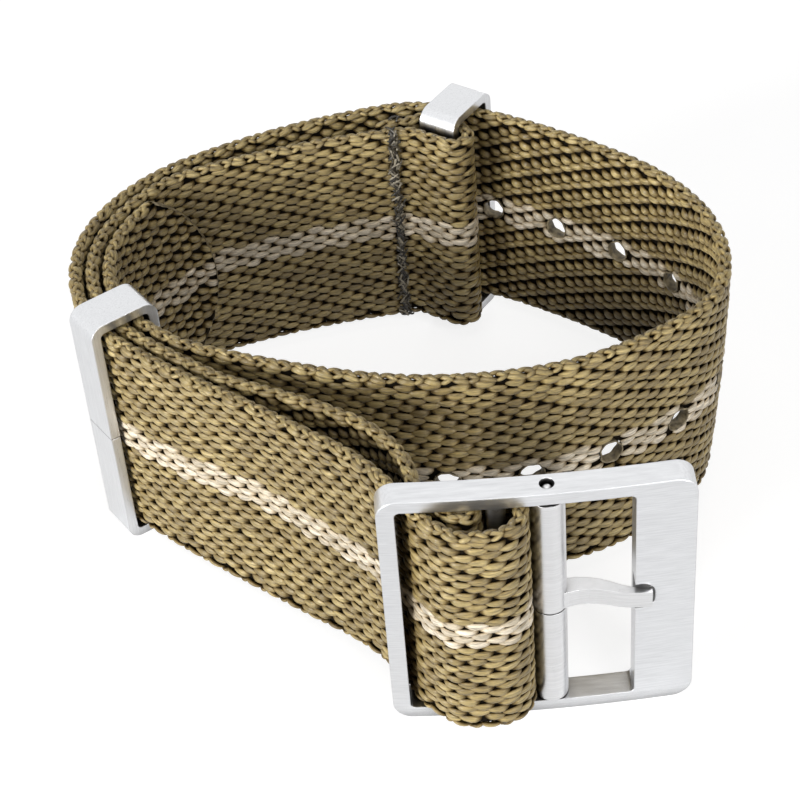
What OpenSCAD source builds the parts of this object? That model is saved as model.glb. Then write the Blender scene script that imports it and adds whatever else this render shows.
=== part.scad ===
// Woven watch strap: one strip of webbing doubled round a buckle, with two wire-thin keepers.
// The strap stands on its edge. X runs along the buckle, Y from the buckle to the far side, Z up.

/* [Webbing] */
// Width of the webbing, the same as the watch's lug width
web_w = 20; // [16:0.5:24]
// Thickness of the webbing
web_t = 1.2; // [1:0.05:1.35]
// Air between two layers that lie together
layer_gap = 0.15; // [0.1:0.05:0.2]
// How far the inner layer bows away from the outer one beside the buckle
front_bow = 1.8; // [1:0.1:2]
// How far the two layers part at the back, where the watch goes
seat_bow = 2.4; // [1.8:0.1:2.5]
// Length of the rounded, heat-sealed tip
tip_round = 5.4; // [4:0.2:7]

/* [Holes] */
// Diameter of the punched holes
hole_d = 1.9; // [1.4:0.1:2.4]
// Distance between two holes along the strap
hole_pitch = 6.3; // [5.5:0.1:6.5]
// Number of holes
hole_count = 10; // [6:1:11]
// Way along the tail from the back keeper to the first hole
hole_start = 6.1; // [5.5:0.1:8]

/* [Keepers] */
// Length of each keeper along the strap
keeper_len = 3.4; // [2.5:0.1:4.5]
// Wall of the keepers' metal strip
keeper_wall = 0.8; // [0.6:0.05:1]
// Free space beside three layers inside a keeper
keeper_play = 0.2; // [0.15:0.05:0.4]
// Free space above and below the webbing inside a keeper
keeper_rise = 0.4; // [0.2:0.05:0.6]
// Outer corner radius of the keepers
keeper_r = 1.2; // [1:0.05:1.4]
// Slit of the butt seam in a keeper's outer side
seam_w = 0.06; // [0.04:0.01:0.12]
// Air between the sewn fold and the keeper wall that it holds
fold_play = 0.25; // [0.15:0.05:0.3]
// Turn of the back keeper against the strap's own line
back_skew = -37; // [-39:1:-35]

/* [Buckle frame] */
// Thickness of the frame from front to back
frame_t = 2.05; // [1.9:0.05:2.3]
// Height of the top and bottom bars
bar_h = 1; // [0.8:0.1:1.6]
// Free space above and below the webbing in the frame
edge_play = 0.2; // [0.15:0.05:0.4]
// Width of the left bar
left_bar_w = 1.3; // [1:0.1:2]
// Free space between the strap and the left bar
window_play = 0.15; // [0.1:0.05:0.4]
// Width of the crossbar inside the bight
cross_w = 1.4; // [1.1:0.1:1.6]
// Depth of the crossbar from front to back
cross_d = 1.8; // [1.5:0.1:1.9]
// Corner radius of the crossbar
cross_r = 0.5; // [0.3:0.05:0.55]
// Width of the end plate that the tongue's tip rests on
plate_w = 4.35; // [3:0.1:6]
// Distance from the spring bar to the end plate
window_reach = 6.1; // [5.5:0.1:8]
// Radius of the frame's arched front
arch_r = 127; // [90:5:200]
// Outer corner radius of the frame
frame_r = 1.5; // [1:0.1:2.2]
// Corner radius of the two windows
window_r = 0.4; // [0.2:0.05:0.6]

/* [Tongue] */
// Outer diameter of the tongue's barrel and of the spacer sleeve
barrel_d = 2.55; // [2.3:0.05:2.7]
// Wall of the barrel and of the sleeve
barrel_wall = 0.5; // [0.4:0.05:0.55]
// Length of the spacer sleeve below the tongue
sleeve_h = 9.3; // [6:0.1:11]
// Air between sleeve, barrel and frame along the spring bar
stack_air = 0.12; // [0.05:0.01:0.2]
// Height of the tongue's arm
arm_h = 1.5; // [1:0.1:2.2]
// Thickness of the arm at its root
arm_root_t = 1.6; // [1.2:0.05:1.8]
// Thickness of the arm at its tip
arm_tip_t = 0.4; // [0.3:0.05:0.6]
// How far the tip reaches over the end plate
tip_reach = 1.2; // [0.8:0.1:2]
// Air round the tip in the plate's notch
notch_air = 0.5; // [0.2:0.05:0.8]
// Metal left behind the notch
notch_floor = 0.45; // [0.3:0.05:0.8]

/* [Spring bar] */
// Bore play between barrel and spring bar, on each side
pin_play = 0.03; // [0.02:0.01:0.05]
// Wall of the spring bar's tube
tube_wall = 0.18; // [0.14:0.01:0.2]
// Length of the narrowed neck at each end of the tube
neck_len = 0.4; // [0.3:0.05:0.8]
// Step by which the neck is narrower than the bore, on each side
neck_step = 0.08; // [0.06:0.01:0.1]
// Length of a tip's collar inside the tube
collar_len = 1; // [0.6:0.1:2]
// Distance that a tip stays below the frame's outer face
tip_sink = 0.2; // [0.1:0.05:0.4]
// Play of a tip in the frame's hole, on each side
tip_play = 0.09; // [0.05:0.01:0.1]
// Number of coils in the spring
coil_count = 24; // [12:1:32]

/* [Stitching] */
// Width of the sewn column
stitch_w = 1.2; // [0.8:0.1:1.2]
// Thickness of the sewing thread
thread_d = 0.3; // [0.2:0.02:0.36]
// Number of slanting stitches on each face
stitch_count = 22; // [10:1:28]

/* [Hidden] */
$fn = 64;
eps = 0.01;

// Heights
web_z = max(bar_h + edge_play, keeper_rise + keeper_wall);
web_top = web_z + web_w;
mid_z = web_z + web_w / 2;
frame_h = web_w + 2 * (bar_h + edge_play);
low_z = mid_z - frame_h / 2;
pitch = web_t + layer_gap;

// Crossbar, the place that every route starts from
cross_x = 5.95;
cross_y = -24;
wrap_play = 0.15;
side_play = 0.25;
wrap_r = 0.5;
bight_r = 1.6;
bight_front = 2.35;

// Bight: inner face of the webbing, from behind the crossbar round its free side to the front
bight_right = cross_x + cross_w / 2 + side_play;
bight_back = cross_y + cross_d / 2 + wrap_play;
bight_side = bight_back - wrap_r - (cross_y - bight_front + bight_r);
bight_start = [bight_right - wrap_r, bight_back, 360];
bight_arcs = [[wrap_r * PI / 2, -90], [bight_side, 0], [bight_r * PI / 2, -90], [1.14, 0],
    [2.21 * 47 * PI / 180, -47]];

// Route of the strap's outer face, clockwise from the front of the bight to the back keeper
route_start = out(walk(bight_start, bight_arcs), web_t);
route = [[2.22, 0], [0.6, -21], [1.7, 11], [2.3, -2], [5.9, 22.8], [19.8, -8.5], [19.6, -76.8],
    [9.6, -31.3], [18.1, -18.9], [3.6, -21.9]];
// Route of the tail's outer face, on from the back keeper to the front keeper
tail_route = [[8, -19.9], [11.56, -9.2], [8.2, -23.9], [9.83, -36.2], [6.91, -44.8], [15.93, -31],
    [25.13, -32.4], [1, -12.6]];

// Stations along the route
leg_s = 5;
window_s = 4.52;
front_close = 24;
keeper_s = 35.6;
tail_in = 29.82;
seat_open = 59;
tip_s = 61.6;
stitch_s = 80.3;
ply_end = 78.4;
seat_close = 81.2;
back_s = 3.55;

// Keepers
keeper_in = 3 * web_t + 2 * layer_gap + 2 * keeper_play;
keeper_d = keeper_in + 2 * keeper_wall;
keeper_h = web_w + 2 * (keeper_rise + keeper_wall);
keeper_z = web_z - keeper_rise - keeper_wall;

// Buckle frame, built outward from the crossbar
window_x = at(window_s).x - window_play;
frame_x = window_x - left_bar_w;
barrel_gap = 0.2;
pin_x = bight_right + web_t + barrel_gap + barrel_d / 2;
plate_x = pin_x + window_reach;
frame_w = plate_x + plate_w - frame_x;
frame_mid = frame_x + frame_w / 2;
frame_front = cross_y - frame_t / 2;
pin_y = cross_y + 0.1;

// Tongue and spring bar
bore_d = barrel_d - 2 * barrel_wall;
tube_d = bore_d - 2 * pin_play;
tube_bore = tube_d - 2 * tube_wall;
neck_bore = tube_bore - 2 * neck_step;
pin_d = neck_bore - 2 * pin_play;
collar_d = tube_bore - 2 * pin_play;
pin_hole = pin_d + 2 * tip_play;
sleeve_z = bar_h + stack_air;
tongue_z = sleeve_z + sleeve_h + stack_air;
tongue_top = frame_h - bar_h - stack_air;
tube_z = bar_h + stack_air;
tube_top = frame_h - tube_z;
arm_arcs = [[3.6, -46], [2.4, 20], [window_reach + tip_reach - 6.55, 0]];
arm_start = [pin_x + 0.7, pin_y - 0.9, 24];

// Whole plan, moved so that the origin is at the middle of the footprint
plan_x = -0.5956;
plan_y = 0.2244;

// A pose is [x, y, heading]. An arc is [length, turn], left turns positive.
function ahead(q, a, f) = abs(a[1]) < 0.001
    ? [q.x + a[0] * f * cos(q.z), q.y + a[0] * f * sin(q.z), q.z]
    : let (r = a[0] / (a[1] * PI / 180), h = q.z + a[1] * f)
        [q.x + r * (sin(h) - sin(q.z)), q.y + r * (cos(q.z) - cos(h)), h];
function walk(q, arcs, i = 0) = i == len(arcs) ? q : walk(ahead(q, arcs[i], 1), arcs, i + 1);
function out(q, d) = [q.x - d * sin(q.z), q.y + d * cos(q.z), q.z];
function fine(a) = max(1, ceil(a[0] / 1.1), ceil(abs(a[1]) / 11));
function trail(q, arcs, i = 0) = i == len(arcs) ? [q]
    : concat([for (k = [0:fine(arcs[i]) - 1]) ahead(q, arcs[i], k / fine(arcs[i]))],
        trail(ahead(q, arcs[i], 1), arcs, i + 1));
// Pose at a station of the route
function along(q, arcs, s, i = 0) = i == len(arcs) - 1 || s <= arcs[i][0]
    ? ahead(q, arcs[i], s / arcs[i][0])
    : along(ahead(q, arcs[i], 1), arcs, s - arcs[i][0], i + 1);
function at(s) = along(route_start, route, s);
function stations(s0, s1, n) = [for (k = [0:n]) s0 + (s1 - s0) * k / n];
// Width of the air between the outer layer and the inner layer at a station
function part_of(s, s0, s1) = min(max((s - s0) / (s1 - s0), 0), 1);
function air(s) = layer_gap
    + front_bow * pow(sin(180 * pow(part_of(s, leg_s, front_close), 0.7)), 1.4)
    + seat_bow * (1 - pow(1 - part_of(s, seat_open, seat_close), 1.4));
// Outline between two rows of poses, left row first
function band(left, right) = concat([for (q = left) [q.x, q.y]],
    [for (i = [len(right) - 1:-1:0]) [right[i].x, right[i].y]]);
function shift(poses, d) = [for (q = poses) out(q, d)];
// Row of poses beside the inner layer
function beside(list, d) = [for (s = list) out(at(s), d - air(s))];

outer_line = trail(route_start, route);
route_end = walk(route_start, route);
inner_s = concat(stations(leg_s, front_close, 22), stations(front_close + 1, seat_open, 38),
    stations(seat_open + 1, seat_close, 26));
inner_near = beside(inner_s, -web_t);
inner_far = beside(inner_s, -2 * web_t);

// Leg and hairpin of the inner layer, then up beside the crossbar and round it
leg_start = [inner_far[0].x, inner_far[0].y, at(leg_s).z + 180];
hair_r = 0.2;
leg_arcs = [[2.9, 0], [0.6, 133 - at(leg_s).z], [0.85, 0], [hair_r * 137 * PI / 180, 137]];
leg_end = walk(leg_start, leg_arcs);
leg_up = bight_back - wrap_r - leg_end.y;
loop_line = concat(trail(leg_start, concat(leg_arcs, [[leg_up, 0], [(wrap_r + web_t) * PI / 2, -90]])),
    shift(trail(bight_start, bight_arcs), web_t));

// Back keeper, and the sewn fold round its inner wall
back_seat = along(route_end, tail_route, back_s);
back_lift = 0.56;
back_mid = out([back_seat.x, back_seat.y, back_skew], back_lift - keeper_in / 2);
wall_v = keeper_d / 2 + fold_play;
loop_r = keeper_wall / 2 + fold_play;
loop_u = keeper_len / 2 - 0.25;
fold_start = beside([seat_close], -web_t)[0];
fold_h = fold_start.z - back_skew;
fold_v = (fold_start.y - back_mid.y) * cos(back_skew) - (fold_start.x - back_mid.x) * sin(back_skew);
fold_u = (fold_start.x - back_mid.x) * cos(back_skew) + (fold_start.y - back_mid.y) * sin(back_skew);
fold_r = (-wall_v - fold_v) / (1 - cos(fold_h));
ply_run = loop_u - fold_u - fold_r * sin(fold_h);
ply_gap = 0.1;
ply_r = 0.6;
join_r = 1.5;
corner_u = -keeper_len / 2 - 0.35;
corner = out(ahead(back_mid, [corner_u, 0], 1), 2 * loop_r - wall_v);
join = beside([seat_close + 0.3], ply_gap - web_t)[0];
slope = atan2(join.y - corner.y, join.x - corner.x) + 360;
turn_in = slope - back_skew - 180;
turn_out = join.z + 180 - slope;
cut_in = ply_r * tan(turn_in / 2);
cut_out = join_r * tan(-turn_out / 2);
ply_arcs = [[fold_r * fold_h * PI / 180, -fold_h], [ply_run, 0], [loop_r * PI, 180],
    [loop_u - corner_u - cut_in, 0], [ply_r * turn_in * PI / 180, turn_in],
    [norm([join.x - corner.x, join.y - corner.y]) - cut_in - cut_out, 0],
    [join_r * -turn_out * PI / 180, turn_out]];
ply_s = stations(seat_close - 0.4, ply_end, 4);
fold_line = concat(trail(fold_start, ply_arcs),
    [for (q = beside(ply_s, ply_gap - web_t)) [q.x, q.y, q.z + 180]]);

module upright(outline) {
    translate([plan_x, plan_y, web_z]) linear_extrude(height = web_w) polygon(outline);
}

module in_buckle() {
    translate([plan_x, plan_y, low_z]) children();
}

module placed(q) {
    translate([plan_x + q.x, plan_y + q.y, 0]) rotate([0, 0, q.z]) children();
}

module rounded(w, h, r) {
    union() {
        translate([r, 0]) square([w - 2 * r, h]);
        translate([0, r]) square([w, h - 2 * r]);
        for (x = [r, w - r], y = [r, h - r]) translate([x, y]) circle(r = r);
    }
}

module keeper() {
    translate([-keeper_len / 2, 0, keeper_z]) difference() {
        rotate([90, 0, 90]) linear_extrude(height = keeper_len) difference() {
            translate([-keeper_d / 2, 0]) rounded(keeper_d, keeper_h, keeper_r);
            translate([-keeper_in / 2, keeper_wall])
                rounded(keeper_in, keeper_h - 2 * keeper_wall, keeper_r - keeper_wall);
        }
        translate([-eps, keeper_d / 2 - keeper_wall - eps, keeper_h / 2 - seam_w / 2])
            cube([keeper_len + 2 * eps, keeper_wall + 2 * eps, seam_w]);
    }
}

module strap_outer() {
    color("olive") upright(band(outer_line, shift(outer_line, -web_t)));
}

module strap_buckle_loop() {
    color("darkkhaki") upright(band(loop_line, shift(loop_line, -web_t)));
}

module strap_inner() {
    color("khaki") upright(band(inner_near, inner_far));
}

module strap_tail() {
    inside_s = concat(stations(tail_in + 0.6, seat_open, 32), stations(seat_open + 0.5, tip_s, 5));
    line = concat(trail(route_end, tail_route), beside(inside_s, -2 * web_t - layer_gap));
    tip_r = (tip_round * tip_round + web_w * web_w / 4) / (2 * tip_round);
    deep = web_t + 5;
    color("olivedrab") difference() {
        upright(band(line, shift(line, -web_t)));
        for (k = [0:hole_count - 1])
            placed(out(along(route_end, tail_route, hole_start + k * hole_pitch), -web_t / 2))
                translate([0, 0, mid_z]) rotate([90, 0, 0])
                    cylinder(h = web_t + 1, d = hole_d, center = true);
        placed(out(line[len(line) - 1], -web_t / 2)) difference() {
            translate([-tip_round, -deep / 2, web_z - 1]) cube([tip_round + 1, deep, web_w + 2]);
            translate([-tip_r, 0, mid_z]) rotate([90, 0, 0]) cylinder(h = deep + 1, r = tip_r, center = true);
        }
    }
}

module keeper_fold() {
    color("darkolivegreen") upright(band(fold_line, shift(fold_line, -web_t)));
}

module stitch_face(y) {
    step = (web_w - thread_d) / stitch_count;
    translate([-stitch_w / 2, y - thread_d / 4, web_z - thread_d / 2])
        cube([stitch_w, thread_d / 2, web_w + thread_d]);
    for (k = [0:stitch_count - 1])
        translate([0, y, web_z + thread_d / 2 + (k + 0.5) * step]) rotate([0, k % 2 == 0 ? 24 : -24, 0])
            cube([stitch_w, thread_d, thread_d], center = true);
}

module keeper_stitching() {
    depth = 2 * web_t + ply_gap + 0.14 + thread_d;
    color("black") placed(beside([stitch_s], ply_gap / 2 - web_t)[0]) {
        stitch_face(-depth / 2);
        stitch_face(depth / 2);
        for (z = [web_z - thread_d * 0.75, web_top + thread_d * 0.25])
            translate([-stitch_w / 2, -depth / 2 - thread_d / 4, z])
                cube([stitch_w, depth + thread_d / 2, thread_d / 2]);
    }
}

module front_keeper() {
    color("silver") placed(out(at(keeper_s), -(3 * web_t + 2 * layer_gap) / 2)) keeper();
}

module back_keeper() {
    color("silver") placed(back_mid) keeper();
}

module buckle_frame() {
    color("lightgrey") in_buckle() difference() {
        union() {
            difference() {
                intersection() {
                    translate([frame_mid, frame_front + arch_r, 0]) difference() {
                        cylinder(h = frame_h, r = arch_r, $fn = 200);
                        translate([0, 0, -1]) cylinder(h = frame_h + 2, r = arch_r - frame_t, $fn = 200);
                    }
                    translate([frame_x, frame_front + 2 * frame_t, 0]) rotate([90, 0, 0])
                        linear_extrude(height = 3 * frame_t) rounded(frame_w, frame_h, frame_r);
                }
                window(window_x, cross_x - window_x);
                window(cross_x, plate_x - cross_x);
            }
            translate([cross_x - cross_w / 2, cross_y - cross_d / 2, bar_h / 2])
                linear_extrude(height = frame_h - bar_h) rounded(cross_w, cross_d, cross_r);
        }
        translate([pin_x, pin_y, -1]) cylinder(h = frame_h + 2, d = pin_hole);
        notch();
    }
}

module window(x, w) {
    translate([x, frame_front + 2 * frame_t, bar_h]) rotate([90, 0, 0])
        linear_extrude(height = 3 * frame_t) rounded(w, frame_h - 2 * bar_h, window_r);
}

module notch() {
    w = tip_reach + notch_air / 2;
    h = arm_h + 2 * notch_air;
    y = frame_front + frame_t - notch_floor;
    translate([plate_x - 1, y, tongue_z + arm_h / 2 - h / 2]) rotate([90, 0, 0])
        linear_extrude(height = 2 * frame_t) rounded(w + 1, h, 1);
}

module tongue() {
    line = trail(arm_start, arm_arcs);
    n = len(line) - 1;
    back = [for (i = [0:n]) out(line[i], arm_root_t + (arm_tip_t - arm_root_t) * i / n)];
    color("gainsboro") in_buckle() difference() {
        union() {
            translate([pin_x, pin_y, tongue_z]) cylinder(h = tongue_top - tongue_z, d = barrel_d);
            translate([0, 0, tongue_z]) linear_extrude(height = arm_h) polygon(band(back, line));
        }
        translate([pin_x, pin_y, tongue_z - 1]) cylinder(h = frame_h, d = bore_d);
    }
}

module spacer_sleeve() {
    color("silver") in_buckle() translate([pin_x, pin_y, sleeve_z]) difference() {
        cylinder(h = sleeve_h, d = barrel_d);
        translate([0, 0, -1]) cylinder(h = sleeve_h + 2, d = bore_d);
    }
}

module spring_bar_tube() {
    color("grey") in_buckle() translate([pin_x, pin_y, tube_z]) difference() {
        cylinder(h = tube_top - tube_z, d = tube_d);
        translate([0, 0, neck_len]) cylinder(h = tube_top - tube_z - 2 * neck_len, d = tube_bore);
        translate([0, 0, -1]) cylinder(h = frame_h, d = neck_bore);
    }
}

// A tip with its collar, standing on the collar's inner end
module tip() {
    stem = frame_h - tip_sink - tube_top + neck_len - pin_d / 2;
    union() {
        cylinder(h = collar_len, d = collar_d);
        cylinder(h = collar_len + stem, d = pin_d);
        translate([0, 0, collar_len + stem]) sphere(d = pin_d);
    }
}

module spring_bar_tip_top() {
    color("white") in_buckle() translate([pin_x, pin_y, tube_top - neck_len - collar_len]) tip();
}

module spring_bar_tip_bottom() {
    color("white") in_buckle() translate([pin_x, pin_y, tube_z + neck_len + collar_len])
        mirror([0, 0, 1]) tip();
}

module spring_bar_spring() {
    z0 = tube_z + neck_len + collar_len;
    h = frame_h - 2 * z0;
    wire = 0.24;
    r = collar_d / 2 - wire / 2;
    coil = (h - wire) / (coil_count - 1);
    color("dimgrey") in_buckle() translate([pin_x, pin_y, z0]) rotate_extrude() union() {
        translate([r - wire / 2, 0]) square([wire / 2, h]);
        for (k = [0:coil_count - 1]) translate([r - wire / 2, k * coil]) square([wire, wire]);
    }
}

strap_tail();
strap_outer();
strap_buckle_loop();
strap_inner();
keeper_fold();
keeper_stitching();
front_keeper();
back_keeper();
buckle_frame();
tongue();
spacer_sleeve();
spring_bar_tube();
spring_bar_tip_top();
spring_bar_tip_bottom();
spring_bar_spring();
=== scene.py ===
"""Woven watch strap with a steel pin buckle, dressed over its CAD frame.

The webbing is one strip. Its middle line is laid out as in the CAD source, and its yarn, holes and thread
are placed by how far they lie along that line (s), up the webbing's width (y) and out of its middle (n)."""
import bpy
import math
import numpy as np
from mathutils import Matrix, Vector


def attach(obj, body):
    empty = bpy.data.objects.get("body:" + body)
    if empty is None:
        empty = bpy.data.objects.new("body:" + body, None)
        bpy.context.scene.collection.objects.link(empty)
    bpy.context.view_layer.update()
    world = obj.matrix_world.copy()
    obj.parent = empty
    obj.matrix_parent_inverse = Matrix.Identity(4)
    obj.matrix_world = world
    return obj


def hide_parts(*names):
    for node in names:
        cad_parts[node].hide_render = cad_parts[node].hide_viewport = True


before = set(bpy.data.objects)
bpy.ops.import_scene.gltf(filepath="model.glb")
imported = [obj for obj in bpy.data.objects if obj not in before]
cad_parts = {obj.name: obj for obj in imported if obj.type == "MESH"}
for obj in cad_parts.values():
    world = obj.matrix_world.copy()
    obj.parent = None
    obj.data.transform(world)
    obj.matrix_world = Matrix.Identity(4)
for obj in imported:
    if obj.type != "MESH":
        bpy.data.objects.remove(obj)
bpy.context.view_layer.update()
rng = np.random.default_rng(7)
MM = 0.001
deg = math.radians

# Sizes and routes of the CAD source, in millimetres. A route is a row of (length, turn in degrees)
WEB_W, WEB_T, GAP, MID_Z = 20.0, 1.2, 0.15, 11.2
PLAN = np.array([-0.5956, 0.2244])
FRONT_BOW, SEAT_BOW = 1.8, 2.4
CROSS_X, CROSS_Y, CROSS_W, CROSS_D = 5.95, -24.0, 1.4, 1.8
SIDE_PLAY, WRAP_PLAY, WRAP_R = 0.25, 0.15, 0.5
ROUTE = [(2.22, 0), (0.6, -21), (1.7, 11), (2.3, -2), (5.9, 22.8), (19.8, -8.5), (19.6, -76.8),
         (9.6, -31.3), (18.1, -18.9), (3.6, -21.9)]
TAIL_ROUTE = [(8, -19.9), (11.56, -9.2), (8.2, -23.9), (9.83, -36.2), (6.91, -44.8), (15.93, -31),
              (25.13, -32.4), (1, -12.6)]
LEG_S, FRONT_CLOSE, SEAT_OPEN, PLY_END, SEAT_CLOSE = 5.0, 24.0, 59.0, 78.4, 81.2
TAIL_IN, TIP_S, TIP_ROUND = 29.82, 61.6, 5.4
HOLE_R, HOLE_PITCH, HOLE_START, HOLES = 0.95, 6.3, 6.1, 10
KEEP_LEN, KEEP_IN, KEEP_D, KEEP_WALL = 3.4, 4.3, 5.9, 0.8
BACK_S, BACK_LIFT, SKEW, FOLD_PLAY, PLY_GAP = 3.55, 0.56, -37.0, 0.25, 0.1
CORNER_R, JOIN_R = 0.6, 1.5
TRAIL_STEP, BESIDE_STEP = 0.2, 0.25


# Poses are (x, y, heading in degrees), as in the CAD source
def ahead(q, arc, f=1.0):
    length, turn = arc
    h = deg(q[2])
    if abs(turn) < 0.001:
        return (q[0] + length * f * math.cos(h), q[1] + length * f * math.sin(h), q[2])
    r = length / deg(turn)
    h2 = h + deg(turn * f)
    return (q[0] + r * (math.sin(h2) - math.sin(h)), q[1] + r * (math.cos(h) - math.cos(h2)),
            q[2] + turn * f)


def walk(q, arcs):
    for a in arcs:
        q = ahead(q, a)
    return q


def out(q, d):
    h = deg(q[2])
    return (q[0] - d * math.sin(h), q[1] + d * math.cos(h), q[2])


def trail(q, arcs):
    poses = []
    for a in arcs:
        n = max(1, math.ceil(a[0] / TRAIL_STEP), math.ceil(abs(a[1]) / 5))
        poses += [ahead(q, a, k / n) for k in range(n)]
        q = ahead(q, a)
    return poses + [q]


def along(q, arcs, s):
    for i, a in enumerate(arcs):
        if s <= a[0] or i == len(arcs) - 1:
            return ahead(q, a, s / a[0])
        q = ahead(q, a)
        s -= a[0]


def part_of(s, a, b):
    return min(max((s - a) / (b - a), 0), 1)


def air(s):
    """The gap between the outer and the inner layer, with its bow at the front and at the watch's seat."""
    front = math.sin(math.pi * part_of(s, LEG_S, FRONT_CLOSE) ** 0.7)
    return (GAP + FRONT_BOW * max(front, 0) ** 1.4
            + SEAT_BOW * (1 - (1 - part_of(s, SEAT_OPEN, SEAT_CLOSE)) ** 1.4))


# The bight round the crossbar, inside face
BIGHT_RIGHT = CROSS_X + CROSS_W / 2 + SIDE_PLAY
BIGHT_BACK = CROSS_Y + CROSS_D / 2 + WRAP_PLAY
BIGHT_START = (BIGHT_RIGHT - WRAP_R, BIGHT_BACK, 360)
BIGHT = [(WRAP_R * math.pi / 2, -90), (1.3, 0), (1.6 * math.pi / 2, -90), (1.14, 0), (2.21 * deg(47), -47)]
START = out(walk(BIGHT_START, BIGHT), WEB_T)


def at(s):
    return along(START, ROUTE, s)


def beside(ss, d):
    return [out(at(s), d - air(s)) for s in ss]


def steps(a, b):
    return list(np.linspace(a, b, max(2, int(round(abs(b - a) / BESIDE_STEP)) + 1)))


def turned(poses):
    return [(x, y, h + 180) for x, y, h in poses[::-1]]


# The inner layer and the leg by which it reaches the crossbar
route_end = walk(START, ROUTE)
inner_far = beside(steps(LEG_S, SEAT_CLOSE), -2 * WEB_T)
leg_start = (inner_far[0][0], inner_far[0][1], at(LEG_S)[2] + 180)
leg_arcs = [(2.9, 0), (0.6, 133 - at(LEG_S)[2]), (0.85, 0), (0.2 * deg(137), 137)]
leg_end = walk(leg_start, leg_arcs)
leg_arcs += [(BIGHT_BACK - WRAP_R - leg_end[1], 0), ((WRAP_R + WEB_T) * math.pi / 2, -90)]
loop_line = trail(leg_start, leg_arcs) + [out(q, WEB_T) for q in trail(BIGHT_START, BIGHT)]

# The fold that holds the back keeper, and the ply that comes back from it: u and v lie along and across the
# keeper
back_seat = along(route_end, TAIL_ROUTE, BACK_S)
back_mid = out((back_seat[0], back_seat[1], SKEW), BACK_LIFT - KEEP_IN / 2)
wall_v, loop_r, loop_u = KEEP_D / 2 + FOLD_PLAY, KEEP_WALL / 2 + FOLD_PLAY, KEEP_LEN / 2 - 0.25
fold_start = beside([SEAT_CLOSE], -WEB_T)[0]
fold_h = fold_start[2] - SKEW
cs, sn = math.cos(deg(SKEW)), math.sin(deg(SKEW))
dx, dy = fold_start[0] - back_mid[0], fold_start[1] - back_mid[1]
fold_v, fold_u = dy * cs - dx * sn, dx * cs + dy * sn
fold_r = (-wall_v - fold_v) / (1 - math.cos(deg(fold_h)))
ply_run = loop_u - fold_u - fold_r * math.sin(deg(fold_h))
corner_u = -KEEP_LEN / 2 - 0.35
corner = out(ahead(back_mid, (corner_u, 0)), 2 * loop_r - wall_v)
join = beside([SEAT_CLOSE + 0.3], PLY_GAP - WEB_T)[0]
slope = math.degrees(math.atan2(join[1] - corner[1], join[0] - corner[0])) + 360
turn_in, turn_out = slope - SKEW - 180, join[2] + 180 - slope
cut_in = CORNER_R * math.tan(deg(turn_in / 2))
cut_out = JOIN_R * math.tan(deg(-turn_out / 2))
ply_arcs = [(fold_r * deg(fold_h), -fold_h), (ply_run, 0), (loop_r * math.pi, 180),
            (loop_u - corner_u - cut_in, 0), (CORNER_R * deg(turn_in), turn_in),
            (math.hypot(join[0] - corner[0], join[1] - corner[1]) - cut_in - cut_out, 0),
            (JOIN_R * deg(-turn_out), turn_out)]
fold_line = trail(fold_start, ply_arcs) + turned(beside(steps(PLY_END, SEAT_CLOSE - 0.4), PLY_GAP - WEB_T))

tail_line = trail(route_end, TAIL_ROUTE) + beside(steps(TAIL_IN + 0.4, TIP_S), -2 * WEB_T - GAP)

# The whole strip as one line of its good side, from its sewn end to the tip of its tail
good_side = [("keeper_fold", turned([out(q, -WEB_T) for q in fold_line])),
             ("strap_inner", turned(inner_far)),
             ("strap_buckle_loop", loop_line),
             ("strap_outer", trail(START, ROUTE)),
             ("strap_tail", tail_line)]

# Where the real strap slumps out of the plan of its solids: centre in plan, reach in mm, and the way it
# moves in mm at its middle height, at its top edge and at its bottom edge
SLUMPS = (((-11.0, -11.5), 4.4, (0.62, 0.78), 1.0, 0.35, 0.1),
          ((4.0, -10.3), 6.5, (-0.1, -1.0), 1.0, 0.5, 1.2),
          ((14.4, -9.0), 4.5, (0.3, -0.95), 0.35, 0.35, 0.8),
          ((26.0, -0.5), 5.0, (1.0, -0.2), -0.2, 0.1, -0.9),
          ((0.9, -26.2), 1.3, (-0.1, -1.0), 0.5, 0.1, 0.3),
          ((6.9, -24.6), 1.4, (1.0, 0.0), 0.36, 0.24, 0.36),
          ((-0.7, -23.7), 1.2, (-0.89, -0.46), 0.0, 0.0, 0.3))
SLUMP_Y = 9.6


def slump(px, py, y):
    v = np.clip(np.asarray(y) / SLUMP_Y, -1, 1)
    mx, my = 0.0, 0.0
    for (cx, cy), reach, way, mid, top, low in SLUMPS:
        near = np.exp(-((px - cx) ** 2 + (py - cy) ** 2) / (2 * reach ** 2))
        much = mid + (top - low) / 2 * v + ((top + low) / 2 - mid) * v ** 2
        mx, my = mx + near * much * way[0], my + near * much * way[1]
    return mx, my


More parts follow.
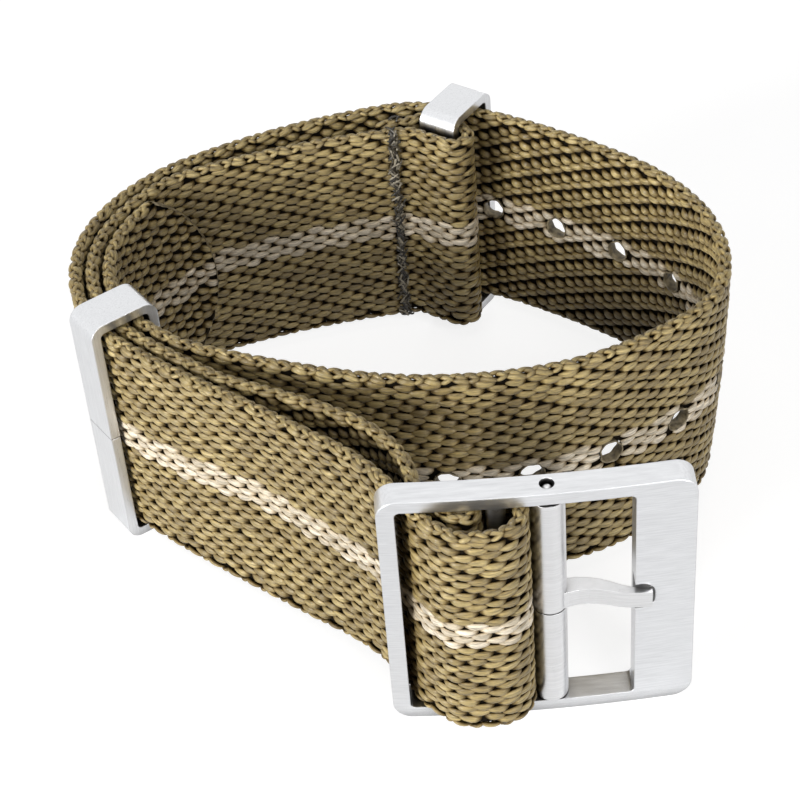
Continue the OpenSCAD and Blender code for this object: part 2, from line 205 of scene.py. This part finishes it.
class Strip:
    """Middle line of the webbing, evenly stepped and smoothed, with the place of each node on it."""
    STEP, LEAST_STEP, SMOOTHINGS = 0.1, 0.02, 14

    def __init__(self, parts):
        points, self.cuts = [], {}
        total, last = 0.0, None
        for name, poses in parts:
            begin = total
            for q in poses:
                m = np.array(out(q, -WEB_T / 2)[:2])
                if last is not None:
                    d = float(np.hypot(*(m - last)))
                    if d < self.LEAST_STEP:
                        continue
                    total += d
                points.append((total, m[0], m[1]))
                last = m
            self.cuts[name] = (begin, total)
        points = np.array(points)
        self.length = total
        self.s = np.arange(0, total + self.STEP / 2, self.STEP)
        p = np.stack([np.interp(self.s, points[:, 0], points[:, k]) for k in (1, 2)], 1)
        for _ in range(self.SMOOTHINGS):
            p[1:-1] = 0.25 * p[:-2] + 0.5 * p[1:-1] + 0.25 * p[2:]
        t = np.gradient(p, axis=0)
        t /= np.hypot(t[:, 0], t[:, 1])[:, None]
        self.lines = (p[:, 0], p[:, 1], -t[:, 1], t[:, 0], t[:, 0], t[:, 1])

    def place(self, s, y, n):
        """Points at s along the strip, y up its width and n out of its middle, in metres."""
        s = np.asarray(s, float)
        c = np.clip(s, 0, self.s[-1])
        px, py, nx, ny, tx, ty = (np.interp(c, self.s, line) for line in self.lines)
        over = s - c
        lx, ly = slump(px, py, y)
        return np.stack([(px + nx * n + tx * over + lx + PLAN[0]) * MM,
                         (py + ny * n + ty * over + ly + PLAN[1]) * MM,
                         (MID_Z + y) * MM * np.ones_like(px)], -1)


strip = Strip(good_side)
hole_s = [strip.cuts["strap_tail"][0] + HOLE_START + k * HOLE_PITCH for k in range(HOLES)]
TIP_R = (TIP_ROUND ** 2 + WEB_W ** 2 / 4) / (2 * TIP_ROUND)
TIP_MID, TIP_FROM = strip.length - TIP_R, strip.length - TIP_ROUND
# How near the yarn and the inside, near black as painted shade, come to the middle of a hole, and to the
# edge of the tip
HOLE_YARN, HOLE_CORE = HOLE_R + 0.05, HOLE_R + 0.02
TIP_YARN, TIP_CORE = TIP_R - 0.09, TIP_R - 0.1


def build(name, parts, mat):
    """A mesh object of one material from parts: see join_parts. Points are in metres."""
    verts, quads, tone, kind, uv, high = join_parts(parts)
    me = bpy.data.meshes.new(name)
    me.vertices.add(len(verts))
    me.vertices.foreach_set("co", np.asarray(verts, np.float32).ravel())
    quads = np.asarray(quads, np.int32)
    me.loops.add(quads.size)
    me.loops.foreach_set("vertex_index", quads.ravel())
    me.polygons.add(len(quads))
    me.polygons.foreach_set("loop_start", np.arange(0, quads.size, 4, dtype=np.int32))
    me.polygons.foreach_set("loop_total", np.full(len(quads), 4, np.int32))
    me.polygons.foreach_set("use_smooth", np.full(len(quads), True))
    for label, data in (("tone", tone), ("kind", kind), ("high", high)):
        me.attributes.new(label, "FLOAT", "POINT").data.foreach_set("value", np.asarray(data, np.float32))
    layer = me.uv_layers.new(name="UVMap")
    layer.data.foreach_set("uv", np.asarray(uv, np.float32)[quads.ravel()].ravel())
    me.update()
    me.validate()
    me.materials.append(mat)
    ob = bpy.data.objects.new(name, me)
    bpy.context.scene.collection.objects.link(ob)
    return ob


def join_parts(parts):
    """Joins (verts, quads, tone, kind, uv, high) tuples into one."""
    joined, base = [], 0
    for v, q, tone, kind, uv, high in parts:
        v = v.reshape(-1, 3)
        joined.append((v, q.reshape(-1, 4) + base, tone.ravel(), kind.ravel(), uv.reshape(-1, 2),
                       high.ravel()))
        base += len(v)
    return [np.concatenate(each) for each in zip(*joined)]


def grid_quads(shape):
    """Quads of a grid of points, one for each of its cells."""
    ids = np.arange(shape[0] * shape[1]).reshape(shape)
    return np.stack([ids[:-1, :-1], ids[1:, :-1], ids[1:, 1:], ids[:-1, 1:]], -1)


def column(values):
    return values[:, None, None]


# One yarn strand: rings along it, and across it points from one flank over the crest to the other
NU, NV, FLANK = 11, 7, 1.75
GU, GA = np.meshgrid(np.sin(np.linspace(-math.pi / 2, math.pi / 2, NU)), np.linspace(-FLANK, FLANK, NV),
                     indexing="ij")
GQ = grid_quads((NU, NV)).reshape(-1, 4)


def strand_quads(n):
    return column(np.arange(n)) * (NU * NV) + GQ[None]


# The weave repeats along these two steps (s, y)
TWILL = np.array([1.0, 0.465])
ROW = np.array([-2.03, 0.95])
FACE_Y = 9.4


def lattice(s0, s1, offset):
    n, m = np.meshgrid(np.arange(-60, 220), np.arange(-140, 60), indexing="ij")
    s = n * TWILL[0] + m * ROW[0] + offset[0]
    y = n * TWILL[1] + m * ROW[1] + offset[1]
    ok = (s >= s0) & (s < s1) & (np.abs(y) < FACE_Y)
    return s[ok], y[ok]


def out_of_hole(s, y, hole, edge, inner=0.0):
    """Pushes the points between inner and edge out to the edge of a hole, and tells which lie in inner."""
    d = np.hypot(s - hole, y)
    inside = d < inner
    near = (d < edge) & ~inside
    f = np.where(near, edge / np.maximum(d, 0.05), 1)
    return np.where(near, hole + (s - hole) * f, s), np.where(near, y * f, y), inside


def within_tip(s, y, reach):
    """Pulls the points past the strip's rounded tip back to it."""
    d = np.hypot(s - TIP_MID, y)
    past = (d > reach) & (s > TIP_FROM - 1)
    f = np.where(past, reach / np.maximum(d, 1), 1)
    return np.where(past, TIP_MID + (s - TIP_MID) * f, s), np.where(past, y * f, y)


def clear_of_cuts(ss, yy, s, y):
    """Drops floats over a hole or past the tip, and pulls the others' points back to the cut's edge."""
    keep = np.ones(len(s), bool)
    for h in hole_s:
        keep &= np.hypot(s - h, y) > HOLE_R + 0.12
    keep &= ~((np.hypot(s - TIP_MID, y) > TIP_R + 0.05) & (s > TIP_FROM - 1))
    keep &= (s > 0.2)
    ss, yy = ss[keep], yy[keep]
    for h in hole_s:
        ss, yy, _ = out_of_hole(ss, yy, h, HOLE_YARN)
    ss, yy = within_tip(ss, yy, TIP_YARN)
    return keep, np.maximum(ss, 0.0), yy


# Half the cream stripe's width, the height of a float's middle line at its highest, and how far below that
# its painted shade is full
STRIPE, CREST, CREST_DEEP = 1.25, 0.37, 0.16
# Two sets of floats on each side: the side, their offset on the lattice, half length, half width, height of
# their cross-section and tilt, the heights of their two ends, where along them from -1 to 1 they are highest
# and widest, and the powers by which their two ends narrow. The good side (1) is seen with the strip running
# to the left, and its floats rise to the right; the back (-1) is seen with the strip running to the right
FLOATS = ((1, (-0.02, 0.0), 0.92, 0.36, 0.17, math.pi + deg(1), (0.30, -0.16), 0.0, 0.10, 1.6, 2.6),
          (1, (-1.52, 0.19), 0.98, 0.34, 0.15, math.pi - deg(2), (-0.12, 0.30), 0.12, 0.05, 1.8, 1.8),
          (-1, (0.28, 0.11), 0.80, 0.38, 0.25, deg(-13), (-0.20, 0.04), 0.12, 0.1, 1.9, 1.9),
          (-1, (1.38, -0.23), 1.04, 0.31, 0.22, deg(6), (0.02, -0.16), 0.0, 0.0, 1.7, 1.7))
# Painted shade on the outer layer near the buckle: where it is, its reach in mm and how dark it is
SHADE_S, SHADE_REACH, SHADE = strip.cuts["strap_outer"][0] + 4.3, 1.1, 0.85


def floats(s0, s1, side, offset, half, wide, tall, tilt, ends, peak, belly, taper, blunt):
    """One set of yarn floats: arched strands that dive into the webbing at both ends."""
    s, y = lattice(s0, s1, offset)
    n = len(s)
    mid_s = column(s + rng.normal(0, 0.035, n))
    mid_y = column(y + rng.normal(0, 0.02, n))
    half = column(half * (1 + rng.normal(0, 0.05, n)))
    wide = column(wide * (1 + rng.normal(0, 0.05, n)))
    tilt = column(tilt + rng.normal(0, deg(2.5), n))
    crest = column(CREST + rng.normal(0, 0.015, n))
    tone = column(rng.random(n))
    kind = column((np.abs(y) < STRIPE).astype(float))
    u, a = GU[None], GA[None]
    off_belly = np.where(u < belly, (belly - u) / (1 + belly), (u - belly) / (1 - belly))
    plump = np.clip(1 - off_belly ** np.where(u < belly, taper, blunt), 0, 1) ** 0.5
    fall = np.where(u < peak, (u - peak) / (-1 - peak), (u - peak) / (1 - peak)) ** 2
    x = half * u
    w = wide * plump * np.sin(a)
    h = crest - (crest - np.where(u < peak, *ends)) * fall + tall * plump * np.cos(a)
    ss = mid_s + x * np.cos(tilt) - w * np.sin(tilt)
    yy = mid_y + x * np.sin(tilt) + w * np.cos(tilt)
    uv = np.stack([x + 3.7 * (mid_s % 7), w + 1.3 * (mid_y % 5)], -1)
    one = np.ones_like(ss)
    # high: 1 on the crest, falling to 0 down the flanks and in the gaps, where the yarn material paints
    # shade by it
    high = np.clip((h - crest + CREST_DEEP) / (tall + 0.06), 0, 1) * np.clip(np.cos(a), 0, 1) ** 0.35
    keep, ss, yy = clear_of_cuts(ss, yy, s, y)
    # The painted shade near the buckle lowers high here
    high = high[keep] * (1 - SHADE * np.exp(-((ss - SHADE_S) / SHADE_REACH) ** 2))
    return (strip.place(ss, yy, (side * h)[keep]), strand_quads(keep.sum()), (tone * one)[keep],
            (kind * one)[keep], uv[keep], high)


# The webbing's two edges are rounds about this line, and carry rows of strands: angle from the good side and
# tilt in degrees, half length, half width, pitch, shift and extra height
EDGE_Y, EDGE_R, EDGE_CREST = 9.42, 0.6, 0.36
EDGE_ROWS = ((36, 14, 0.86, 0.36, 2.03, 0.0, 0.05), (42, -34, 0.60, 0.24, 2.03, 1.0, 0.05),
             (76, 30, 0.62, 0.25, 1.015, 0.0, 0.06), (104, -30, 0.62, 0.25, 1.015, 0.5, 0.06),
             (138, 34, 0.60, 0.24, 2.03, 0.3, 0.05), (144, -14, 0.86, 0.36, 2.03, 1.3, 0.05))


def selvedge(s0, s1):
    """Yarn round the edges: plump strands on both shoulders, and thin ones that cross over the top."""
    parts = []
    for end in (1, -1):
        for theta, tilt, half, wide, pitch, shift, lift in EDGE_ROWS:
            s = np.arange(math.ceil(s0 / pitch) * pitch - pitch, s1 + pitch, pitch) + shift
            s = s[(s >= s0) & (s < s1) & (s > 0.3) & (s < TIP_FROM - 0.1)]
            n = len(s)
            if n == 0:
                continue
            s = column(s + rng.normal(0, 0.05, n))
            u, a = GU[None], GA[None]
            plump = np.clip(1 - np.abs(u) ** 3.5, 0, 1) ** 0.5
            x = half * u * (1 + column(rng.normal(0, 0.06, n)))
            w = wide * plump * np.sin(a) * (1 + column(rng.normal(0, 0.06, n)))
            h = EDGE_CREST + lift - 0.20 * u ** 2 + 0.20 * plump * np.cos(a)
            lean = deg(tilt) * end + column(rng.normal(0, deg(4), n))
            ss = s + x * np.cos(lean) - w * np.sin(lean)
            arc = deg(theta) + (x * np.sin(lean) + w * np.cos(lean)) / EDGE_R
            one = np.ones_like(ss)
            tone = column(rng.random(n)) * one
            uv = np.stack([x + 3.1 * (s % 5), w], -1)
            # high: as on the faces' floats, 0 in the gaps, where the yarn material paints shade
            high = np.clip((h - 0.22) / 0.32, 0, 1) * np.clip(np.cos(a), 0, 1) ** 0.6 * one
            points = strip.place(ss, end * (EDGE_Y + h * np.sin(arc)), h * np.cos(arc) * 1.05)
            parts.append((points, strand_quads(n), tone, 0 * one, uv, high))
    return parts


# The inside under the yarn, near black as painted shade in the gaps: two flat faces with round edges between
# them
CORE_Y, CORE_HALF, CORE_STEP, CORE_ROWS = 9.45, 0.15, 0.2, 97


def core(s0, s1):
    """Inside of the webbing between its yarns, near black as painted shade, with its holes and its rounded
    tip.
    """
    s = np.arange(s0, s1 + CORE_STEP / 2, CORE_STEP)
    S, Y = np.meshgrid(s, np.linspace(-CORE_Y, CORE_Y, CORE_ROWS), indexing="ij")
    S, Y = within_tip(S, Y, TIP_CORE)
    hit = np.zeros(S.shape, bool)
    for h in hole_s:
        S, Y, inside = out_of_hole(S, Y, h, HOLE_CORE, HOLE_R - 0.12)
        hit |= inside
    bad = hit[:-1, :-1] | hit[1:, :-1] | hit[1:, 1:] | hit[:-1, 1:]
    quads = grid_quads(S.shape)[~bad].reshape(-1, 4)
    flat = np.stack([S, Y], -1)
    parts = [(strip.place(S, Y, side * CORE_HALF * np.ones_like(S)), q, 0 * S, 0 * S, flat, 0 * S)
             for side, q in ((1, quads[:, ::-1]), (-1, quads))]
    A, SS = np.meshgrid(np.linspace(0, math.pi, 7), s[s < TIP_FROM], indexing="xy")
    quads = grid_quads(SS.shape).reshape(-1, 4)
    for end, q in ((1, quads[:, ::-1]), (-1, quads)):
        v = strip.place(SS, end * (CORE_Y + CORE_HALF * np.sin(A)), CORE_HALF * np.cos(A))
        parts.append((v, q, 0 * SS, 0 * SS, np.stack([SS, A], -1), 0 * SS))
    return parts


# A thread's sides, and a direction that none of them runs along
THREAD_SIDES, ASIDE = 8, (0.31, 0.22, 0.92)


def thread(points, radius, tone):
    """A round thread through points (n, 3) in metres, as a part for build; it tapers at both ends."""
    t = np.gradient(points, axis=0)
    t /= np.linalg.norm(t, axis=1)[:, None]
    a = np.cross(t, ASIDE)
    a /= np.linalg.norm(a, axis=1)[:, None]
    b = np.cross(t, a)
    n = len(points)
    u = np.linspace(-1, 1, n)
    r = radius * np.sqrt(np.clip(1.0001 - np.abs(u) ** 6, 0.0001, 1)) * MM
    ang = np.linspace(0, 2 * math.pi, THREAD_SIDES, endpoint=False)[None, :, None]
    ring = points[:, None] + column(r) * (np.cos(ang) * a[:, None] + np.sin(ang) * b[:, None])
    ids = np.arange(n * THREAD_SIDES).reshape(n, THREAD_SIDES)
    nxt = np.roll(ids, -1, axis=1)
    quads = np.stack([ids[:-1], nxt[:-1], nxt[1:], ids[1:]], -1).reshape(-1, 4)
    one = np.ones(ids.size)
    uv = np.stack([np.repeat(u, THREAD_SIDES), np.tile(np.arange(THREAD_SIDES) / THREAD_SIDES, n)], -1)
    return ring, quads, tone * one, 0 * one, uv, one


# Materials
def rgb(r, g, b):
    """A colour as seen on a screen, 0 to 255, as the shader takes it."""
    lin = [((c / 255 + 0.055) / 1.055) ** 2.4 if c > 10 else c / 255 / 12.92 for c in (r, g, b)]
    return (*lin, 1)


WHITE = (1, 1, 1, 1)


class Nodes:
    """Short hand for building the node tree of a material or a world."""

    def __init__(self, owner, shader):
        owner.use_nodes = True
        self.tree = owner.node_tree
        self.shader = self.tree.nodes[shader]

    def add(self, kind, inputs=(), **props):
        n = self.tree.nodes.new(kind)
        for k, v in props.items():
            setattr(n, k, v)
        for k, v in dict(inputs).items():
            self.set(n.inputs[k], v)
        return n

    def set(self, socket, v):
        if isinstance(v, bpy.types.NodeSocket):
            self.tree.links.new(v, socket)
        else:
            socket.default_value = v

    def shade(self, inputs):
        for k, v in inputs.items():
            self.set(self.shader.inputs[k], v)

    def value(self, name):
        return self.add("ShaderNodeAttribute", attribute_name=name).outputs["Fac"]

    def place(self, kind="Object"):
        return self.add("ShaderNodeTexCoord").outputs[kind]

    def stretch(self, vector, scale, turn=0.0):
        return self.add("ShaderNodeMapping", {"Vector": vector, "Scale": scale,
                                              "Rotation": (0, 0, turn)}).outputs[0]

    def noise(self, vector, scale, detail, rough=0.5):
        return self.add("ShaderNodeTexNoise", {"Vector": vector, "Scale": scale, "Detail": detail,
                                               "Roughness": rough}).outputs["Fac"]

    def bump(self, height, strength, distance, **normal):
        inputs = {"Height": height, "Strength": strength, "Distance": distance, **normal}
        return self.add("ShaderNodeBump", inputs).outputs[0]

    def ramp(self, fac, *stops):
        n = self.add("ShaderNodeValToRGB", {"Fac": fac})
        e = n.color_ramp.elements
        while len(e) < len(stops):
            e.new(0.5)
        for el, (pos, col) in zip(e, stops):
            el.position, el.color = pos, col
        return n.outputs["Color"]

    def mix(self, fac, a, b, mode="MIX"):
        n = self.add("ShaderNodeMix", data_type="RGBA", blend_type=mode)
        for i, v in ((0, fac), (6, a), (7, b)):
            self.set(n.inputs[i], v)
        return n.outputs[2]

    def math(self, op, a, b=0.0, c=0.0):
        n = self.add("ShaderNodeMath", operation=op)
        for i, v in enumerate((a, b, c)):
            self.set(n.inputs[i], v)
        return n.outputs[0]


def material(name):
    mat = bpy.data.materials.new(name)
    return mat, Nodes(mat, "Principled BSDF")


def yarn_material():
    """Olive or cream filaments; high is 1 on a strand's crest and 0 in the gaps, where shade is painted into
    the colour and gloss and sheen are taken away.
    """
    mat, k = material("nylon_yarn")
    tone, kind, high = k.value("tone"), k.value("kind"), k.value("high")
    fibre = k.noise(k.stretch(k.place("UV"), (0.8, 5.4, 1.0), 0.5), 1.0, 4.0, 0.7)
    patch = k.noise(k.place(), 160.0, 2.0)
    olive = k.ramp(tone, (0.0, rgb(133, 115, 73)), (0.5, rgb(153, 134, 87)), (1.0, rgb(174, 155, 105)))
    cream = k.ramp(tone, (0.0, rgb(194, 181, 157)), (1.0, rgb(222, 210, 189)))
    light = k.math("MULTIPLY_ADD", fibre, 3.2, -0.56)
    light = k.math("MULTIPLY", light, k.math("MULTIPLY_ADD", patch, 0.24, 0.88))
    grey = k.add("ShaderNodeCombineColor", {"Red": light, "Green": light, "Blue": light}).outputs[0]
    # Painted shade: the colour darkens from the crests down into the gaps, less on cream; gloss and sheen
    # fade with it
    olive_painted_shade = k.ramp(high, (0.0, (0.03, 0.02, 0.01, 1)), (0.5, (0.42, 0.37, 0.29, 1)), (1.0, WHITE))
    cream_painted_shade = k.ramp(high, (0.0, (0.22, 0.17, 0.11, 1)), (0.5, (0.72, 0.66, 0.56, 1)), (1.0, WHITE))
    col = k.mix(1.0, k.mix(kind, olive, cream), k.mix(kind, olive_painted_shade, cream_painted_shade), "MULTIPLY")
    k.shade({"Base Color": k.mix(1.0, col, grey, "MULTIPLY"),
             "Roughness": k.math("MULTIPLY_ADD", fibre, -0.3, 0.50),
             "Specular IOR Level": k.math("MULTIPLY", high, 0.5),
             "Sheen Weight": k.math("MULTIPLY", high, 0.12),
             "Sheen Roughness": 0.4,
             "Normal": k.bump(fibre, 0.8, 0.00012)})
    return mat


def core_material():
    mat, k = material("webbing_inside")
    # Near-black colour: painted shade for the deep gaps between the yarns
    col = k.ramp(k.noise(k.place(), 1500.0, 3.0), (0.3, rgb(9, 7, 4)), (0.7, rgb(25, 19, 11)))
    k.shade({"Base Color": col, "Roughness": 0.9, "Specular IOR Level": 0.1})
    return mat


def seal_material():
    mat, k = material("melted_nylon")
    n = k.noise(k.place(), 2200.0, 3.0)
    col = k.ramp(n, (0.32, rgb(66, 56, 38)), (0.68, rgb(160, 146, 116)))
    k.shade({"Base Color": col, "Roughness": 0.5, "Normal": k.bump(n, 0.5, 0.00005)})
    return mat


def stitch_material():
    mat, k = material("bonded_thread")
    n = k.noise(k.stretch(k.place(), (1.0, 1.0, 4.0)), 2600.0, 2.0)
    both = k.math("MULTIPLY_ADD", n, 0.5, k.math("MULTIPLY", k.value("tone"), 0.62))
    col = k.ramp(both, (0.3, rgb(16, 13, 8)), (0.62, rgb(52, 45, 31)), (0.9, rgb(176, 167, 147)))
    k.shade({"Base Color": col, "Roughness": 0.36, "Normal": k.bump(n, 0.4, 0.00004)})
    return mat


def steel_material(name, base, scale, line, rough, edge):
    """Brushed steel: scale and line set its grain along X, Y and Z, and edge how soft its corners look."""
    mat, k = material(name)
    grain = k.noise(k.stretch(k.place(), tuple(scale * c for c in line)), 1.0, 4.0, 0.65)
    tint = k.ramp(grain, (0.25, rgb(*[c - 22 for c in base])), (0.75, rgb(*base)))
    # Painted shade: the colour darkens where other surfaces lie within 1.6 mm
    close = k.add("ShaderNodeAmbientOcclusion", {"Distance": 0.0016}, samples=6).outputs["AO"]
    painted_nook_shade = k.ramp(close, (0.15, (0.10, 0.09, 0.08, 1)), (0.8, WHITE))
    bevel = k.add("ShaderNodeBevel", {"Radius": edge}, samples=4).outputs[0]
    k.shade({"Base Color": k.mix(1.0, tint, painted_nook_shade, "MULTIPLY"),
             "Metallic": 1.0,
             "Roughness": k.math("MULTIPLY_ADD", grain, 0.16, rough),
             "Normal": k.bump(grain, 0.12, 0.00002, Normal=bevel)})
    return mat


yarn, dark = yarn_material(), core_material()
for name, (s0, s1) in strip.cuts.items():
    cloth = build(name + "_weave", [floats(s0, s1, *row) for row in FLOATS] + selvedge(s0, s1), yarn)
    heart = build(name + "_core", core(s0, s1), dark)
    for ob in (cloth, heart):
        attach(ob, "strap")
        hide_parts(name)

# Seals: the melted rims of the punched holes and the melted edge of the tip. A rim's section is a row of
# (outward, out of the webbing's middle). The tip's seal reaches this far up its edge and out of the middle
RIM = ((0.06, -0.40), (0.03, -0.48), (-0.02, -0.50), (-0.07, -0.42), (-0.08, 0.0), (-0.07, 0.42),
       (-0.02, 0.50), (0.03, 0.48), (0.06, 0.40))
RIM_ROUGH, RIM_WAVES = 0.085, (2, 3, 5, 8)
TIP_SEAL_Y, TIP_SEAL_N = 9.9, 0.52
# The order of a quad's corners when it faces the other way
TURNED = [0, 3, 2, 1]


def rims():
    parts = []
    a = np.linspace(0, 2 * math.pi, 41)
    for h in hole_s:
        rough = RIM_ROUGH * sum(np.sin(k * a + rng.random() * 6.3) / k ** 0.3 for k in RIM_WAVES)
        rr = np.array([HOLE_CORE + dr + rough * (0.6 if abs(n) > 0.3 else 0.35) for dr, n in RIM])
        rr[:, -1] = rr[:, 0]
        nn = np.array([[n * (1 + 0.06 * math.sin(3 * t + h)) for t in a] for _, n in RIM])
        v = strip.place(h + rr * np.cos(a), rr * np.sin(a), nn)
        one = np.ones(rr.shape)
        parts.append((v, grid_quads(rr.shape)[..., TURNED], one * rng.random(), 0 * one,
                      np.stack([rr, nn], -1), one))
    return parts


def tip_seal():
    half = math.asin(TIP_SEAL_Y / TIP_R)
    A, B = np.meshgrid(np.linspace(-half, half, 140), np.linspace(-math.pi / 2, math.pi / 2, 9),
                       indexing="xy")
    rr = TIP_R - 0.14 + 0.13 * np.cos(B) + 0.018 * np.sin(61 * A) + 0.015 * np.sin(97 * A + 1)
    nn = TIP_SEAL_N * np.sin(B) * (1 + 0.05 * np.sin(45 * A))
    v = strip.place(TIP_MID + rr * np.cos(A), rr * np.sin(A), nn)
    one = np.ones(A.shape)
    return [(v, grid_quads(A.shape)[..., TURNED], one * 0.5, 0 * one, np.stack([A * 10, B], -1), one)]


seals = build("strap_tail_seals", rims() + tip_seal(), seal_material())
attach(seals, "strap")
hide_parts("strap_tail")

# Dark thread that holds the keeper's fold: on each face a thick column of short strands that lie across each
# other and wrap over both edges
STITCH_S = (strip.cuts["strap_inner"][0] + 0.9, 1.9)
STITCHES, STITCH_Y, STITCH_R, STITCH_HALF = 190, 10.3, 0.09, (0.42, 0.62)
STITCH_LIFT, STITCH_BEND = 0.56, 0.62


def stitches():
    parts = []
    u = np.linspace(-1, 1, 9)
    for s_mid in STITCH_S:
        for k in range(STITCHES):
            y = STITCH_Y * (2 * (k + 0.5) / STITCHES - 1) + rng.normal(0, 0.05)
            tilt = rng.choice([-1, 1]) * deg(rng.uniform(28, 78))
            x = rng.normal(0, 0.2) + rng.uniform(*STITCH_HALF) * u * math.cos(tilt)
            yy = y + rng.uniform(*STITCH_HALF) * u * math.sin(tilt)
            lift = STITCH_LIFT + rng.uniform(0, 0.10) + 0.13 * np.sqrt(np.clip(1 - u ** 4, 0, 1))
            over = np.clip(np.abs(yy) - EDGE_Y, 0, 2) / STITCH_BEND
            yy = np.sign(yy) * (np.minimum(np.abs(yy), EDGE_Y) + lift * np.sin(over))
            parts.append(thread(strip.place(s_mid + x, yy, lift * np.cos(over)), STITCH_R, rng.random()))
    return parts


sewing = build("keeper_stitching_threads", stitches(), stitch_material())
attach(sewing, "strap")
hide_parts("keeper_stitching")

# The steel pieces are the CAD's own: material, colour, grain's density and its share along X, Y and Z,
# roughness, soft edge in metres, and the nodes that have it
STEELS = (("satin_steel", (238, 239, 241), 420, (1.0, 8.0, 26.0), 0.24, 0.00012, ("buckle_frame",)),
          ("keeper_steel", (238, 239, 241), 420, (26.0, 26.0, 1.0), 0.22, 0.00012,
           ("front_keeper", "back_keeper")),
          ("turned_steel", (238, 238, 239), 420, (1.0, 1.0, 30.0), 0.22, 0.00006,
           ("tongue", "spacer_sleeve", "spring_bar_tube", "spring_bar_tip_top", "spring_bar_tip_bottom")),
          ("spring_wire", (150, 148, 145), 900, (1.0, 1.0, 30.0), 0.3, 0.00004, ("spring_bar_spring",)))
for *look, nodes in STEELS:
    steel = steel_material(*look)
    for node in nodes:
        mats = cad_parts[node].data.materials
        mats.clear()
        mats.append(steel)

# Camera: the photograph's place, from its straight edges. FOCAL is in pixels of a picture PHOTO_W wide
FOCAL, PHOTO_W, SENSOR, ELEV, ROLL, DIST, AIM_Z = 2200.0, 800, 36, 41.5, -4.77, 177.48, 10.0
elev, roll = deg(ELEV), deg(ROLL)
fwd = np.array([0, math.cos(elev), -math.sin(elev)])
eye = (np.array([0, 0, AIM_Z]) - DIST * fwd + np.array([PLAN[0], PLAN[1], 0])) * MM
right = np.array([1.0, 0, 0])
up = np.cross(right, fwd)
right, up = (math.cos(roll) * right + math.sin(roll) * up,
             -math.sin(roll) * right + math.cos(roll) * up)
cam = bpy.data.cameras.new("camera")
cam.sensor_width = SENSOR
cam.lens = FOCAL * SENSOR / PHOTO_W
cam.clip_start, cam.clip_end = 0.01, 20
cam_ob = bpy.data.objects.new("camera", cam)
cam_ob.matrix_world = Matrix([[right[i], up[i], -fwd[i], eye[i]] for i in range(3)] + [[0, 0, 0, 1]])
bpy.context.scene.collection.objects.link(cam_ob)
bpy.context.scene.camera = cam_ob

# Floor and world: white to the camera and pale to the steel, with little light of their own
FLOOR_GREY, FLOOR_SEEN, FLOOR_MIRRORED = 0.36, 0.81, 0.76
WORLD_SEEN, WORLD_LIGHT = 0.915, 0.085
mat, k = material("floor_white")
path = k.add("ShaderNodeLightPath").outputs
seen = k.math("MULTIPLY_ADD", path["Is Glossy Ray"], FLOOR_MIRRORED, path["Is Camera Ray"])
k.shade({"Base Color": (FLOOR_GREY, FLOOR_GREY, FLOOR_GREY, 1), "Roughness": 0.9, "Specular IOR Level": 0.0,
         "Emission Color": WHITE, "Emission Strength": k.math("MULTIPLY", seen, FLOOR_SEEN)})
bpy.ops.mesh.primitive_plane_add(size=4, location=(0, 0, 0))
floor = bpy.context.object
floor.name = "floor"
floor.data.materials.append(mat)

world = bpy.data.worlds.new("studio")
bpy.context.scene.world = world
k = Nodes(world, "Background")
path = k.add("ShaderNodeLightPath").outputs
seen = k.math("MAXIMUM", path["Is Camera Ray"], path["Is Glossy Ray"])
k.shade({"Color": WHITE, "Strength": k.math("MULTIPLY_ADD", seen, WORLD_SEEN, WORLD_LIGHT)})

# Lamps: name, place, size, power and whether the steel mirrors them; all aim at the strap's middle
LAMP_AIM = (0, 0, 0.01)
LAMPS = (("key", (-0.62, -0.50, 0.22), 0.36, 8.4, True), ("right", (0.5, -0.72, 0.045), 0.1, 2.6, True),
         ("fill", (0.35, -0.6, 0.6), 0.4, 2.6, True), ("back", (0.25, 0.85, 0.12), 0.3, 5.0, False),
         ("top", (0, 0, 0.8), 0.5, 0.6, True))
for name, place, size, power, mirrored in LAMPS:
    data = bpy.data.lights.new(name, "AREA")
    data.shape, data.size, data.energy = "DISK", size, power
    ob = bpy.data.objects.new(name, data)
    bpy.context.scene.collection.objects.link(ob)
    ob.location = place
    ob.rotation_mode = "QUATERNION"
    ob.rotation_quaternion = Vector(np.subtract(LAMP_AIM, place)).to_track_quat("-Z", "Y")
    ob.visible_glossy = mirrored

bpy.context.scene.view_settings.view_transform = "Standard"
